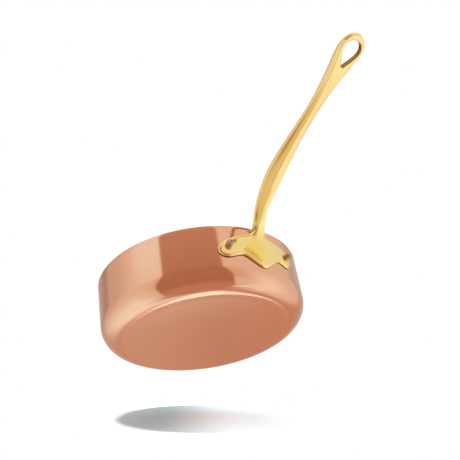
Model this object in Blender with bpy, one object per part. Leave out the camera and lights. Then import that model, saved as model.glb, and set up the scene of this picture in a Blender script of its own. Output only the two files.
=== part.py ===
"""A small copper saute pan: copper shell, steel lining, cast brass handle and two steel rivets.

Metres, +Z up. The origin is the middle of the base's underside, and the handle points along +X.
"""
import math

import bmesh
import bpy
from mathutils import Vector

MM = 0.001

# Pan body
PAN_RADIUS = 60.0 * MM
PAN_HEIGHT = 36.5 * MM
CORNER_RADIUS = 10.8 * MM
COPPER_THICKNESS = 1.4 * MM
LINING_THICKNESS = 0.5 * MM
RIM_ROUND = 0.2 * MM
TURN_STEPS = 80
CORNER_STEPS = 6

# Points of a turned piece that meet on its axis are merged within this distance
MERGE_DISTANCE = 0.02 * MM

# Every piece keeps this gap to the piece that it lies on
FIT_GAP = 0.3 * MM

# Bracket: a plate bent round the wall, drawn as columns that stand side by side. A column has its
# distance along the wall from the handle's middle, and how far its two ends lie below the rim. The
# casting's right wing lies a little higher than its left one.
BRACKET_THICKNESS = 2.2 * MM
BRACKET_COLUMNS = (
    (-26.0, 16.9, 14.3),
    (-24.0, 19.8, 11.4),
    (-21.2, 20.7, 9.5),
    (-18.2, 20.3, 8.3),
    (-15.2, 19.2, 7.3),
    (-12.4, 18.4, 6.4),
    (-9.9, 19.2, 5.8),
    (-7.3, 21.3, 5.2),
    (-4.6, 23.4, 3.6),
    (-2.2, 24.9, 1.8),
    (-1.1, 25.3, 1.6),
    (0.0, 25.4, 1.6),
    (1.1, 25.3, 1.6),
    (2.2, 24.9, 1.8),
    (4.6, 23.5, 3.5),
    (7.5, 21.6, 4.8),
    (10.3, 19.3, 5.3),
    (12.9, 18.5, 5.8),
    (15.6, 19.3, 6.4),
    (18.4, 20.3, 7.1),
    (21.2, 20.1, 8.2),
    (23.7, 17.9, 9.9),
    (25.6, 14.9, 12.2),
)
BRACKET_ROWS = (0.0, 0.14, 0.36, 0.62, 0.85, 1.0)
LAYERS = (0.0, 0.36, 0.7, 1.0)
SCOOP_DEPTH = 0.8 * MM
SCOOP_ALONG = 6.9 * MM
SCOOP_DROP = 18.3 * MM
SCOOP_REACH = 3.4 * MM

# The columns under the handle swell towards it, and spread towards the top's width at the back
ROOT_COLUMNS = 2
ROOT_SWELL = (0.0, 0.0, 0.0, 0.04, 0.35, 0.8)
ROOT_SPREAD = 0.65

# Handle: its underside starts at the top of the bracket's middle column, this far outside the wall.
# It rises steeply, bends outwards, sweeps on and ends in a slope.
ROOT_OUT = 4.9 * MM
ROOT_ANGLE = math.radians(68.5)
BEND_RADIUS = 26.7 * MM
SWEEP_ANGLE = math.radians(34.2)
SWEEP_RADIUS = 247.5 * MM
SLOPE_ANGLE = math.radians(22.0)
SLOPE_LENGTH = 46.4 * MM
BEND_STEPS = 24

# Grip: from this far along the underside to this far from the ring's first station
GRIP_START = 4.4 * MM
RING_JOIN = 6.2 * MM
GRIP_STATIONS = (
    # share of the way, the underside's width, the top's width, depth, height of the top's lip
    (0.0, 3.5, 7.5, 4.2, 1.0),
    (0.045, 3.5, 7.8, 4.7, 1.0),
    (0.105, 3.7, 8.6, 5.4, 1.1),
    (0.2, 4.3, 9.8, 6.0, 1.3),
    (0.31, 4.8, 10.6, 6.2, 1.5),
    (0.425, 4.4, 10.0, 5.4, 1.6),
    (0.555, 3.8, 8.5, 4.6, 1.6),
    (0.68, 3.6, 7.2, 3.9, 1.6),
    (0.795, 3.8, 6.9, 3.6, 1.6),
    (0.875, 4.7, 8.0, 3.5, 1.6),
    (0.935, 6.0, 9.1, 3.4, 1.6),
    (1.0, 7.6, 10.6, 3.4, 1.6),
)
FLUTE_ACROSS = 0.25
FLUTE_DEEP = 0.45
UNDERSIDE_CROWN = 0.25 * MM
TOP_CROWN = 0.4 * MM

# Ring and hanging eye at the handle's end. A station has the distance back from the handle's end and
# the half width, of the ring's outer edge and of the eye's edge, and how far the top stands out more.
RING_DEPTH = 3.2 * MM
RING_LIP = 1.6 * MM
RING_STATIONS = (
    ((18.4, 4.7), (17.7, 0.8), 1.7),
    ((14.4, 5.7), (14.1, 3.2), 1.4),
    ((10.4, 6.7), (10.4, 5.1), 0.8),
    ((6.7, 7.1), (6.8, 5.8), 0.5),
    ((2.9, 5.7), (3.5, 3.6), 0.4),
)
RING_END = ((1.0, 3.3), (0.2, 1.6), (0.0, 0.0))
RING_END_FLARE = 0.4
EYE_TIP = 18.3
EYE_END = 2.5

# Crispness of the casting's edges, from 0 for round to 1 for sharp
SOFT_EDGE = 0.35
FLUTE_EDGE = 0.6
EYE_EDGE = 0.8
BACK_EDGE = 0.9
CASTING_LEVELS = 1
# Which corners of a grip section, and of a ring station, lie on a crisp edge
SECTION_EDGES = {0: FLUTE_EDGE, 4: FLUTE_EDGE, 6: SOFT_EDGE, 12: SOFT_EDGE, 7: SOFT_EDGE, 11: SOFT_EDGE}
RING_EDGES = {1: FLUTE_EDGE, 3: SOFT_EDGE, 4: SOFT_EDGE}

# Rivets: one in each wing of the bracket, this far along the wall and below the rim
RIVETS = {"left_rivet": (-19.6 * MM, 13.0 * MM), "right_rivet": (21.6 * MM, 11.4 * MM)}
SHANK_RADIUS = 1.5 * MM
OUTER_HEAD_RADIUS = 2.1 * MM
OUTER_HEAD_HEIGHT = 2.2 * MM
HEAD_BEVEL = 0.4 * MM
HEAD_DISH = 0.3 * MM
INNER_HEAD_RADIUS = 3.3 * MM
INNER_HEAD_HEIGHT = 0.8 * MM
RIVET_STEPS = 24
DISH_STEPS = 3

# A hole's cutter reaches this far past the pieces that it cuts
HOLE_REACH = 4.0 * MM

# Colours
COPPER = (0.83, 0.50, 0.36, 1.0)
STEEL = (0.60, 0.57, 0.53, 1.0)
BRASS = (0.93, 0.72, 0.36, 1.0)

# Places that follow from the sizes above
LINING_RADIUS = PAN_RADIUS - COPPER_THICKNESS - FIT_GAP
LINING_CORNER = CORNER_RADIUS - COPPER_THICKNESS - FIT_GAP
LINING_FLOOR = COPPER_THICKNESS + FIT_GAP
BRACKET_BACK = PAN_RADIUS + FIT_GAP
BRACKET_FRONT = BRACKET_BACK + BRACKET_THICKNESS
LAST_COLUMN = len(BRACKET_COLUMNS) // 2
ROOT_DROP = BRACKET_COLUMNS[LAST_COLUMN][2] * MM
TOP_ROW = len(BRACKET_ROWS) - 1
LAST_LAYER = len(LAYERS) - 1
RING_MIDDLE, RING_HALF_WIDTH = max((outer for outer, eye, flare in RING_STATIONS), key=lambda edge: edge[1])


def clear_scene():
    """Remove what a new file starts with."""
    for old in list(bpy.data.objects):
        bpy.data.objects.remove(old, do_unlink=True)


def metal(name, colour, roughness):
    """A Principled metal."""
    material = bpy.data.materials.new(name)
    material.use_nodes = True
    shader = material.node_tree.nodes["Principled BSDF"]
    shader.inputs["Base Color"].default_value = colour
    shader.inputs["Metallic"].default_value = 1.0
    shader.inputs["Roughness"].default_value = roughness
    return material


def add_object(name, mesh, material=None):
    """Link a mesh to the scene as a named object."""
    piece = bpy.data.objects.new(name, mesh)
    if material:
        mesh.materials.append(material)
    bpy.context.scene.collection.objects.link(piece)
    return piece


def arc(centre, radius, start, end, steps):
    """Points of a circular arc between two angles in degrees, both ends included."""
    points = []
    for i in range(steps + 1):
        angle = math.radians(start + (end - start) * i / steps)
        points.append((centre[0] + radius * math.cos(angle), centre[1] + radius * math.sin(angle)))
    return points


def turned(name, profile, steps, material=None):
    """A solid turned about the Z axis. Its half section starts and ends on the axis."""
    mesh = bpy.data.meshes.new(name)
    points = [(radius, 0.0, height) for radius, height in profile]
    mesh.from_pydata(points, [(i, i + 1) for i in range(len(points) - 1)], [])
    piece = add_object(name, mesh, material)
    screw = piece.modifiers.new("turn", "SCREW")
    screw.axis = "Z"
    screw.steps = steps
    screw.render_steps = steps
    screw.use_merge_vertices = True
    screw.merge_threshold = MERGE_DISTANCE
    screw.use_smooth_shade = True
    return piece


def dish_profile(radius, floor, corner, thickness):
    """Half section of a straight-sided dish: its inside from the middle up, its outside down."""
    corner_centre = (radius - corner, floor + corner)
    inner = radius - thickness
    rim = PAN_HEIGHT - RIM_ROUND
    profile = [(0.0, floor + thickness)]
    profile += arc(corner_centre, corner - thickness, -90, 0, CORNER_STEPS)
    profile += arc((inner + RIM_ROUND, rim), RIM_ROUND, 180, 90, 2)
    profile += arc((radius - RIM_ROUND, rim), RIM_ROUND, 90, 0, 2)
    profile += arc(corner_centre, corner, 0, -90, CORNER_STEPS)
    profile.append((0.0, floor))
    return profile


def underside_path():
    """Points of the handle's underside in the XZ plane, and how far along it each one lies."""
    points = [Vector((PAN_RADIUS + ROOT_OUT, PAN_HEIGHT - ROOT_DROP))]
    bends = ((BEND_RADIUS, ROOT_ANGLE, SWEEP_ANGLE), (SWEEP_RADIUS, SWEEP_ANGLE, SLOPE_ANGLE))
    for radius, start, end in bends:
        turn = (start - end) / BEND_STEPS
        for i in range(BEND_STEPS):
            angle = start - turn * (i + 0.5)
            points.append(points[-1] + Vector((math.cos(angle), math.sin(angle))) * radius * turn)
    points.append(points[-1] + Vector((math.cos(SLOPE_ANGLE), math.sin(SLOPE_ANGLE))) * SLOPE_LENGTH)
    distances = [0.0]
    for before, after in zip(points, points[1:]):
        distances.append(distances[-1] + (after - before).length)
    return points, distances


PATH, PATH_DISTANCES = underside_path()
HANDLE_LENGTH = PATH_DISTANCES[-1]
GRIP_LENGTH = HANDLE_LENGTH - RING_STATIONS[0][0][0] * MM - RING_JOIN - GRIP_START


def on_handle(distance, across, depth):
    """A point at a distance along the underside, across it, and deep into the handle from it."""
    i = 0
    while i < len(PATH) - 2 and PATH_DISTANCES[i + 1] < distance:
        i += 1
    direction = (PATH[i + 1] - PATH[i]).normalized()
    foot = PATH[i] + direction * (distance - PATH_DISTANCES[i])
    return Vector((foot.x - direction.y * depth, across, foot.y + direction.x * depth))


def on_bracket(column, row, layer):
    """A corner of the bracket's cage. Layer 0 is the front and the last layer is the back."""
    along, low, high = (value * MM for value in BRACKET_COLUMNS[LAST_COLUMN + column])
    drop = low + (high - low) * BRACKET_ROWS[row]
    through = LAYERS[layer]
    front = BRACKET_FRONT
    if abs(column) <= ROOT_COLUMNS:
        front += ROOT_SWELL[row] * (PAN_RADIUS + ROOT_OUT - BRACKET_FRONT)
        along *= 1 + ROOT_SPREAD * ROOT_SWELL[row] * through
    sideways = (abs(along) - SCOOP_ALONG) / SCOOP_REACH
    upwards = (drop - SCOOP_DROP) / SCOOP_REACH
    if layer == 0:
        front -= SCOOP_DEPTH * math.exp(-sideways ** 2 - upwards ** 2)
    radius = front + (BRACKET_BACK - front) * through
    angle = along / PAN_RADIUS
    return Vector((radius * math.cos(angle), radius * math.sin(angle), PAN_HEIGHT - drop))


def grip_section(distance, underside, top, depth, lip):
    """Corners round the handle: underside, one side up, top, other side down."""
    half_under = underside / 2
    half_top = top / 2
    flute = half_under + FLUTE_ACROSS * (half_top - half_under)
    bottom = [(half_under * k / 2, -UNDERSIDE_CROWN * (1 - abs(k) / 2)) for k in (-2, -1, 0, 1, 2)]
    side = [(flute, FLUTE_DEEP * (depth - lip)), (half_top, depth - lip)]
    upper = [(half_top * k / 2, depth + TOP_CROWN * (1 - abs(k) / 2)) for k in (2, 1, 0, -1, -2)]
    other_side = [(-across, deep) for across, deep in reversed(side)]
    return [on_handle(distance, across, deep) for across, deep in bottom + side + upper + other_side]


def ring_side(back, half_width, flare):
    """Corners up the ring's outer side, from the underside to the top."""
    deep = (0.0, FLUTE_DEEP * (RING_DEPTH - RING_LIP), RING_DEPTH - RING_LIP, RING_DEPTH)
    out = (0.0, FLUTE_ACROSS * flare, flare, flare)
    endways = max(0.0, 1.0 - back / RING_MIDDLE)
    sideways = half_width / RING_HALF_WIDTH if endways else math.copysign(1.0, half_width)
    places = []
    for depth, grow in zip(deep, out):
        distance = HANDLE_LENGTH - (back - grow * endways) * MM
        places.append(on_handle(distance, (half_width + grow * sideways) * MM, depth))
    return places


class Cage:
    """Collects the corners, faces and crisp edges of the casting."""

    def __init__(self):
        self.bm = bmesh.new()
        self.crease = self.bm.edges.layers.float.new("crease_edge")

    def corners(self, places):
        """New corners at these places."""
        return [self.bm.verts.new(place) for place in places]

    def strip(self, first, second, closed=False):
        """Faces between two rows of corners."""
        count = len(first) if closed else len(first) - 1
        for i in range(count):
            j = (i + 1) % len(first)
            self.bm.faces.new((first[i], first[j], second[j], second[i]))

    def crisp(self, row, amount, closed=False):
        """Keep the edges along a row of corners crisp."""
        following = row[1:] + row[:1] if closed else row[1:]
        for corner, after in zip(row, following):
            self.bm.edges.get((corner, after))[self.crease] = amount


def add_bracket(cage):
    """The bracket, open at the top where the handle grows out. Returns that opening's corners."""
    columns = range(-LAST_COLUMN, LAST_COLUMN + 1)
    rows = range(TOP_ROW + 1)
    grids = []
    for layer in (0, LAST_LAYER):
        grid = [cage.corners(on_bracket(column, row, layer) for column in columns) for row in rows]
        for below, above in zip(grid, grid[1:]):
            cage.strip(below, above)
        grids.append(grid)
    front, back = grids

    outline = [(column, TOP_ROW) for column in range(ROOT_COLUMNS, LAST_COLUMN)]
    outline += [(LAST_COLUMN, row) for row in reversed(rows)]
    outline += [(column, 0) for column in reversed(columns[1:-1])]
    outline += [(-LAST_COLUMN, row) for row in rows]
    outline += [(column, TOP_ROW) for column in range(1 - LAST_COLUMN, 1 - ROOT_COLUMNS)]
    sides = [[front[row][column + LAST_COLUMN] for column, row in outline]]
    for layer in range(1, LAST_LAYER):
        sides.append(cage.corners(on_bracket(column, row, layer) for column, row in outline))
    sides.append([back[row][column + LAST_COLUMN] for column, row in outline])
    for before, after in zip(sides, sides[1:]):
        cage.strip(before, after)
    cage.crisp(sides[0], SOFT_EDGE)
    cage.crisp(sides[-1], BACK_EDGE)

    root = slice(LAST_COLUMN - ROOT_COLUMNS, LAST_COLUMN + ROOT_COLUMNS + 1)
    one_side = [side[0] for side in sides[1:-1]]
    other_side = [side[-1] for side in reversed(sides[1:-1])]
    return front[TOP_ROW][root] + one_side + back[TOP_ROW][root][::-1] + other_side


def add_grip(cage, opening):
    """The grip, station by station from the bracket. Returns its last section."""
    before = opening
    for share, *sizes in GRIP_STATIONS:
        distance = GRIP_START + share * GRIP_LENGTH
        section = cage.corners(grip_section(distance, *(size * MM for size in sizes)))
        cage.strip(before, section, closed=True)
        for corner, amount in SECTION_EDGES.items():
            cage.crisp([before[corner], section[corner]], amount)
        before = section
    return before


def add_ring(cage, grip_end):
    """The ring round the hanging eye, from the grip's last section to the handle's end."""
    rights, lefts = [], []
    for (back, half_width), (eye_back, eye_half), flare in RING_STATIONS:
        distance = HANDLE_LENGTH - eye_back * MM
        for rows, side in ((rights, 1), (lefts, -1)):
            places = [on_handle(distance, side * eye_half * MM, 0.0)]
            places += ring_side(back, side * half_width, flare)
            places.append(on_handle(distance, side * eye_half * MM, RING_DEPTH))
            rows.append(cage.corners(places))
    tip = cage.corners(on_handle(HANDLE_LENGTH - EYE_TIP * MM, 0.0, deep) for deep in (0.0, RING_DEPTH))
    end = cage.corners(on_handle(HANDLE_LENGTH - EYE_END * MM, 0.0, deep) for deep in (0.0, RING_DEPTH))

    first = lefts[0][1::-1] + [tip[0]] + rights[0] + [tip[1]] + lefts[0][:1:-1]
    cage.strip(grip_end, first, closed=True)
    for corner, amount in SECTION_EDGES.items():
        cage.crisp([grip_end[corner], first[corner]], amount)
    for rows in (rights, lefts):
        for before, after in zip(rows, rows[1:]):
            cage.strip(before, after)
        for corner, amount in RING_EDGES.items():
            cage.crisp([row[corner] for row in rows], amount)

    eye_under = [tip[0]] + [row[0] for row in rights] + [end[0]] + [row[0] for row in reversed(lefts)]
    eye_top = [tip[1]] + [row[-1] for row in rights] + [end[1]] + [row[-1] for row in reversed(lefts)]
    cage.strip(eye_under, eye_top, closed=True)
    cage.crisp(eye_under, EYE_EDGE, closed=True)
    cage.crisp(eye_top, EYE_EDGE, closed=True)

    spread = [(back, -half) for back, half in RING_END] + [(b, h) for b, h in RING_END[-2::-1]]
    ends = [cage.corners(ring_side(back, half, RING_END_FLARE)) for back, half in spread]
    layers = [[column[layer] for column in ends] for layer in range(LAST_LAYER + 1)]
    under = lefts[-1][1::-1] + [end[0]] + rights[-1][:2]
    top = lefts[-1][-2:] + [end[1]] + rights[-1][:-3:-1]
    cage.strip(under, layers[0])
    cage.strip(top, layers[-1])
    for below, above in zip(layers, layers[1:]):
        cage.strip(below, above)
    cage.strip(rights[-1][1:-1], ends[-1])
    cage.strip(lefts[-1][1:-1], ends[0])
    for corner, amount in RING_EDGES.items():
        row = [lefts[-1][corner]] + layers[corner - 1] + [rights[-1][corner]]
        cage.crisp(row, amount)


def add_handle(material):
    """The casting: bracket, grip and ring in one mesh, rounded by subdivision."""
    cage = Cage()
    add_ring(cage, add_grip(cage, add_bracket(cage)))
    bmesh.ops.recalc_face_normals(cage.bm, faces=cage.bm.faces)
    mesh = bpy.data.meshes.new("handle")
    cage.bm.to_mesh(mesh)
    cage.bm.free()
    mesh.shade_smooth()
    handle = add_object("handle", mesh, material)
    rounding = handle.modifiers.new("rounding", "SUBSURF")
    rounding.levels = CASTING_LEVELS
    rounding.render_levels = CASTING_LEVELS
    return handle


def turn_to_rivet(piece, along, drop):
    """Lay a piece turned about Z on a rivet's axis, which runs out from the pan's axis."""
    piece.location = (0.0, 0.0, PAN_HEIGHT - drop)
    piece.rotation_euler = (0.0, math.pi / 2, along / PAN_RADIUS)


def add_rivet(name, along, drop, material):
    """A rivet with a proud round head outside and a flat head inside."""
    outer_seat = BRACKET_FRONT + FIT_GAP
    outer_end = outer_seat + OUTER_HEAD_HEIGHT
    lining_inside = LINING_RADIUS - LINING_THICKNESS - FIT_GAP
    inner_seat = math.sqrt(lining_inside ** 2 - INNER_HEAD_RADIUS ** 2)
    inner_end = inner_seat - INNER_HEAD_HEIGHT
    face = OUTER_HEAD_RADIUS - HEAD_BEVEL
    profile = [(0.0, outer_end - HEAD_DISH)]
    for i in range(1, DISH_STEPS + 1):
        share = i / DISH_STEPS
        profile.append((face * share, outer_end - HEAD_DISH * (1 - share ** 2)))
    profile += [
        (OUTER_HEAD_RADIUS, outer_end - HEAD_BEVEL),
        (OUTER_HEAD_RADIUS, outer_seat),
        (SHANK_RADIUS, outer_seat),
        (SHANK_RADIUS, inner_seat),
        (INNER_HEAD_RADIUS, inner_seat),
        (INNER_HEAD_RADIUS, inner_end + HEAD_BEVEL),
        (INNER_HEAD_RADIUS - HEAD_BEVEL, inner_end),
        (0.0, inner_end),
    ]
    turn_to_rivet(turned(name, profile, RIVET_STEPS, material), along, drop)


def add_rivet_hole(name, along, drop, pieces):
    """A round hole through the pieces that a rivet holds together."""
    radius = SHANK_RADIUS + FIT_GAP
    inside = LINING_RADIUS - LINING_THICKNESS - HOLE_REACH
    outside = BRACKET_FRONT + HOLE_REACH
    profile = [(0.0, outside), (radius, outside), (radius, inside), (0.0, inside)]
    cutter = turned(name, profile, RIVET_STEPS)
    turn_to_rivet(cutter, along, drop)
    cutter.hide_render = True
    cutter.display_type = "WIRE"
    for piece in pieces:
        cut = piece.modifiers.new(name, "BOOLEAN")
        cut.operation = "DIFFERENCE"
        cut.object = cutter


def main():
    """Model every piece."""
    clear_scene()
    copper = metal("copper", COPPER, 0.15)
    steel = metal("steel", STEEL, 0.3)
    brass = metal("brass", BRASS, 0.15)
    shell = turned("copper_shell", dish_profile(PAN_RADIUS, 0.0, CORNER_RADIUS, COPPER_THICKNESS),
                   TURN_STEPS, copper)
    lining = turned("steel_lining", dish_profile(LINING_RADIUS, LINING_FLOOR, LINING_CORNER,
                                                 LINING_THICKNESS), TURN_STEPS, steel)
    handle = add_handle(brass)
    for name, (along, drop) in RIVETS.items():
        add_rivet_hole(name + "_hole", along, drop, (shell, lining, handle))
        add_rivet(name, along, drop, steel)


main()
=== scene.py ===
# %% [markdown]
# # A small copper pan
#
# The real pan is five pieces of metal. A copper shell is pressed from one sheet, a thin steel lining
# lies inside it, a brass handle is cast in one piece with its bracket, and two steel rivets hold all
# of them together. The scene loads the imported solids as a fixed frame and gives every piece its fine
# surface. All sizes are in metres, in the frame of the solids: the pan stands on z = 0 and its
# handle points along +X.

import math

import bmesh
import bpy
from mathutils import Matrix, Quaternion, Vector
from mathutils.geometry import intersect_point_line


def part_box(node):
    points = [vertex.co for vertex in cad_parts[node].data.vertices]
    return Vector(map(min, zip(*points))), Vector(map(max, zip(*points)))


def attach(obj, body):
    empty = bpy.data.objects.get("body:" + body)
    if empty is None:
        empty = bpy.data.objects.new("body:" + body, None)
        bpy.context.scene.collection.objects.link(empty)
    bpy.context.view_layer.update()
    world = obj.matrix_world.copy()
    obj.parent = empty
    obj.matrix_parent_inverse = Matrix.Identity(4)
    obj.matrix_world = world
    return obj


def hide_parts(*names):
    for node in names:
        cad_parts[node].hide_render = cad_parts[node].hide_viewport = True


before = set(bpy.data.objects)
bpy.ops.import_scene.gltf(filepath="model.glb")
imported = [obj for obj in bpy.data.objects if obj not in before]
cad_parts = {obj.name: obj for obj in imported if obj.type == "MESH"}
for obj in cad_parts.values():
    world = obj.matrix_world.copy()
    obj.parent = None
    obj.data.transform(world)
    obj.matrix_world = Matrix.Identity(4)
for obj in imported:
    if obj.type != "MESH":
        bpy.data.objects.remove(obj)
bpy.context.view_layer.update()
MM = 0.001
print("nodes:", ", ".join(sorted(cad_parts)))

# %% [markdown]
# The camera comes first, because every finish is judged through it. The photograph looks up at the
# pan from below and from the handle's left, through a long lens. A camera can be turned by three
# angles, but a place, a point to aim at and a roll are easier to read and to change.

# %% Camera
CAMERA_PLACE = Vector((303.80, -230.86, -172.65)) * MM
CAMERA_AIM = Vector((35.97, 1.97, 51.98)) * MM
CAMERA_ROLL = math.radians(10.55)
LENS_LENGTH = 55.51
CHIP_WIDTH = 36.0


def add_object(name, data):
    """Put a new object into the scene."""
    made = bpy.data.objects.new(name, data)
    bpy.context.scene.collection.objects.link(made)
    return made


camera_data = bpy.data.cameras.new("camera")
camera_data.lens = LENS_LENGTH
camera_data.sensor_width = CHIP_WIDTH
camera = add_object("camera", camera_data)
camera.location = CAMERA_PLACE
camera.rotation_mode = "QUATERNION"
aim = (CAMERA_AIM - CAMERA_PLACE).to_track_quat("-Z", "Y")
camera.rotation_quaternion = aim @ Quaternion((0, 0, 1), -CAMERA_ROLL)
bpy.context.scene.camera = camera
bpy.context.scene.view_settings.view_transform = "Standard"
print("camera to pan:", round((CAMERA_AIM - CAMERA_PLACE).length / MM), "mm")

# %% [markdown]
# Materials and the studio are node trees. Long chains of Math nodes are hard to read, so a small
# class wraps a socket: adding or multiplying two wrapped sockets adds the Math node. All other nodes
# come from one method, which takes the node's type, its settings and what goes into its sockets.


# %% Node maths
class Signal:
    """A socket that can be used in a sum."""

    def __init__(self, tree, socket):
        self.tree = tree
        self.socket = socket

    def __add__(self, other):
        return self.tree.maths("ADD", self, other)

    def __sub__(self, other):
        return self.tree.maths("SUBTRACT", self, other)

    def __rsub__(self, other):
        return self.tree.maths("SUBTRACT", other, self)

    def __mul__(self, other):
        return self.tree.maths("MULTIPLY", self, other)

    __radd__ = __add__
    __rmul__ = __mul__


class Tree:
    """A node tree that is written as expressions."""

    def __init__(self, owner):
        owner.use_nodes = True
        self.nodes = owner.node_tree.nodes
        self.links = owner.node_tree.links
        self.nodes.clear()

    def node(self, kind, settings=None, inputs=None, output=0):
        """Add a node and return one of its outputs, if it has any."""
        made = self.nodes.new("ShaderNode" + kind)
        for name, value in (settings or {}).items():
            setattr(made, name, value)
        for key, value in (inputs or {}).items():
            if isinstance(value, Signal):
                self.links.new(value.socket, made.inputs[key])
            else:
                made.inputs[key].default_value = value
        return Signal(self, made.outputs[output]) if made.outputs else None

    def maths(self, operation, *values):
        """A Math node on up to three values."""
        return self.node("Math", {"operation": operation}, dict(enumerate(values)))

    def step(self, value, none, full):
        """0 at one value, 1 at the other, smooth between them and flat outside. It rises or falls."""
        return self.node("MapRange", {"interpolation_type": "SMOOTHSTEP"}, {0: value, 1: none, 2: full})

    def blend(self, share, first, second):
        """Mix two colours."""
        return self.node("Mix", {"data_type": "RGBA"}, {0: share, 6: first, 7: second}, output=2)

    def grain(self, vector, scale, detail=2.0):
        """Soft noise from 0 to 1."""
        return self.node("TexNoise", {}, {"Vector": vector, "Scale": scale, "Detail": detail})

    def distance(self, vector, point):
        """How far a vector is from a point."""
        return self.node("VectorMath", {"operation": "DISTANCE"}, {0: vector, 1: point}, output=1)

    def axes(self, vector):
        """The three parts of a vector."""
        first = self.node("SeparateXYZ", {}, {0: vector})
        return [Signal(self, part) for part in first.socket.node.outputs]

    def vector(self, x, y, z):
        """A vector from three values."""
        return self.node("CombineXYZ", {}, {0: x, 1: y, 2: z})


print("node maths ready")

# %% [markdown]
# Metal has no colour of its own: it shows the room, tinted. So the studio is designed as carefully as
# the pan. Pale panels stand round it, one broad gap between them is dark, and the copper wall shows
# that gap as its dark band. The studio is built in the world's node tree as a map of directions:
# azimuth runs round the pan from the handle, and elevation runs up. Each panel is a soft window in
# that map. The camera itself sees plain white instead, through Light Path.

# %% Studio
world = bpy.data.worlds.new("studio")
bpy.context.scene.world = world
studio = Tree(world)
east, north, up = studio.axes(studio.node("TexCoord"))
azimuth = studio.maths("DEGREES", studio.maths("ARCTAN2", north, east))
elevation = studio.maths("DEGREES", studio.maths("ARCSINE", up))


def panel(middle, half_width, side_blur, bottom, bottom_blur, top, top_blur, lean=0.0):
    """A window in the map of directions, all in degrees. It may lean to one side as it rises."""
    sideways = studio.maths("WRAP", azimuth - middle - lean * elevation, -180.0, 180.0)
    sideways = studio.maths("ABSOLUTE", sideways)
    across = studio.step(sideways, half_width + side_blur / 2, half_width - side_blur / 2)
    above = studio.step(elevation, bottom - bottom_blur / 2, bottom + bottom_blur / 2)
    below = studio.step(elevation, top + top_blur / 2, top - top_blur / 2)
    return across * above * below


STUDIO_PALE = (0.86, 0.735, 0.697, 1)
# Title, window and colour; each lies on top of those before it
PANELS = (
    ("left wall", (-166, 20, 36, 0, 60, 95, 10, 0.6), (0.675, 0.55, 0.51, 1)),
    ("far end of the left wall", (-196.6, 23.7, 15, 6, 60, 95, 10, 0.5), (0.45, 0.293, 0.263, 1)),
    ("wall behind the camera", (138.5, 41, 17, -35.8, 31, 60, 20, -0.3), (0.612, 0.358, 0.267, 1)),
    ("haze in front of that wall", (140, 40.8, 88, -6.5, 48, 60, 10, -0.36), (0.605, 0.545, 0.53, 1)),
    ("low panel at the left", (-136.6, 41.4, 33, -69, 5, -20, 58, 0.37), (1.02, 1.07, 1.12, 1)),
    ("low panel at the right", (39.3, 22.5, 31, -57, 8, -4, 60, -0.6), (1.02, 0.98, 0.953, 1)),
    ("dim floor by the camera", (149.5, 9.6, 21, -77, 11, -16, 20, 0.6), (0.7, 0.364, 0.24, 1)),
    ("bright strip by the gap", (-99.7, 29, 20, 29.4, 6, 95, 10, 0.6), (0.95, 0.948, 0.945, 1)),
    ("ceiling", (0, 200, 1, 58, 22, 95, 10), (1.0, 0.97, 0.93, 1)),
)
light = STUDIO_PALE
for title, window, colour in PANELS:
    light = studio.blend(panel(*window), light, colour)
print("studio panels:", len(PANELS))

# %% [markdown]
# The dark gap isn't a plain window: both its edges bend outwards as they go down, until they meet
# the dark floor. This gives the band on the wall its spreading foot. Beside the gap the light comes
# back slowly. Two bright spots lie low in the room: a lamp near the camera makes the white streak
# along the rounded corner, and a weaker glow lights the rib under the handle.

# %% Dark gap, lamp and glow of the studio
GAP_TOP = (0.607, 0.364, 0.275, 1)
GAP_BROWN = (0.49, 0.25, 0.183, 1)
GAP_FOOT = (0.49, 0.232, 0.172, 1)
GAP_SIDE = (0.79, 0.57, 0.431, 1)
FLOOR_BROWN = (0.597, 0.316, 0.237, 1)
WHITE = (1, 1, 1, 1)
# Elevations of none and of all: of the whole gap, its side light, the floor and the gap's colours
GAP_CEILING = (64.0, 44.0)
SIDE_BOTTOM = (-36.0, -20.0)
SIDE_TOP = (30.0, 22.0)
FLOOR_SPAN = (-56.0, -78.0)
BROWN_SPAN = (35.6, 26.6)
FOOT_SPAN = (5.0, -35.0)
GAP_FLOOR = (-42.0, -68.0)
# An edge's azimuth at one elevation, how much it leans and how much it spreads at the very bottom
EDGE_ELEVATION = 40
LEFT_EDGE = (-73.4, -0.162, -203)
RIGHT_EDGE = (-9.7, 0.195, 263)
SPREAD_FADE = 0.9131
# How far the left edge is moved outwards, how soft it is, and the same of the right edge
GAP_SOFTNESS = (0.0, 2.0, 0.0, 1.8)
SIDE_SOFTNESS = (3.2, 14.0, 16.3, 17.6)
BRIGHT_SPOTS = (
    ("lamp", (141, 9, 8, -60, 5, -29, 5), (1.53, 1.47, 1.37, 1)),
    ("glow", (62, 13, 8, -69, 7, -57, 5), (0.99, 0.95, 0.95, 1)),
)


def gap_edge(start, lean, foot):
    """The azimuth of one edge of the gap, at every elevation."""
    spread = studio.maths("POWER", SPREAD_FADE, elevation + 90)
    return start + lean * (EDGE_ELEVATION - elevation) + foot * spread


def between(left, left_blur, right, right_blur):
    """Inside the gap's two edges, which may be moved outwards."""
    inside_left = studio.step(azimuth - gap_edge(*LEFT_EDGE) + left, -left_blur, left_blur)
    return inside_left * studio.step(azimuth - gap_edge(*RIGHT_EDGE) - right, right_blur, -right_blur)


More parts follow.
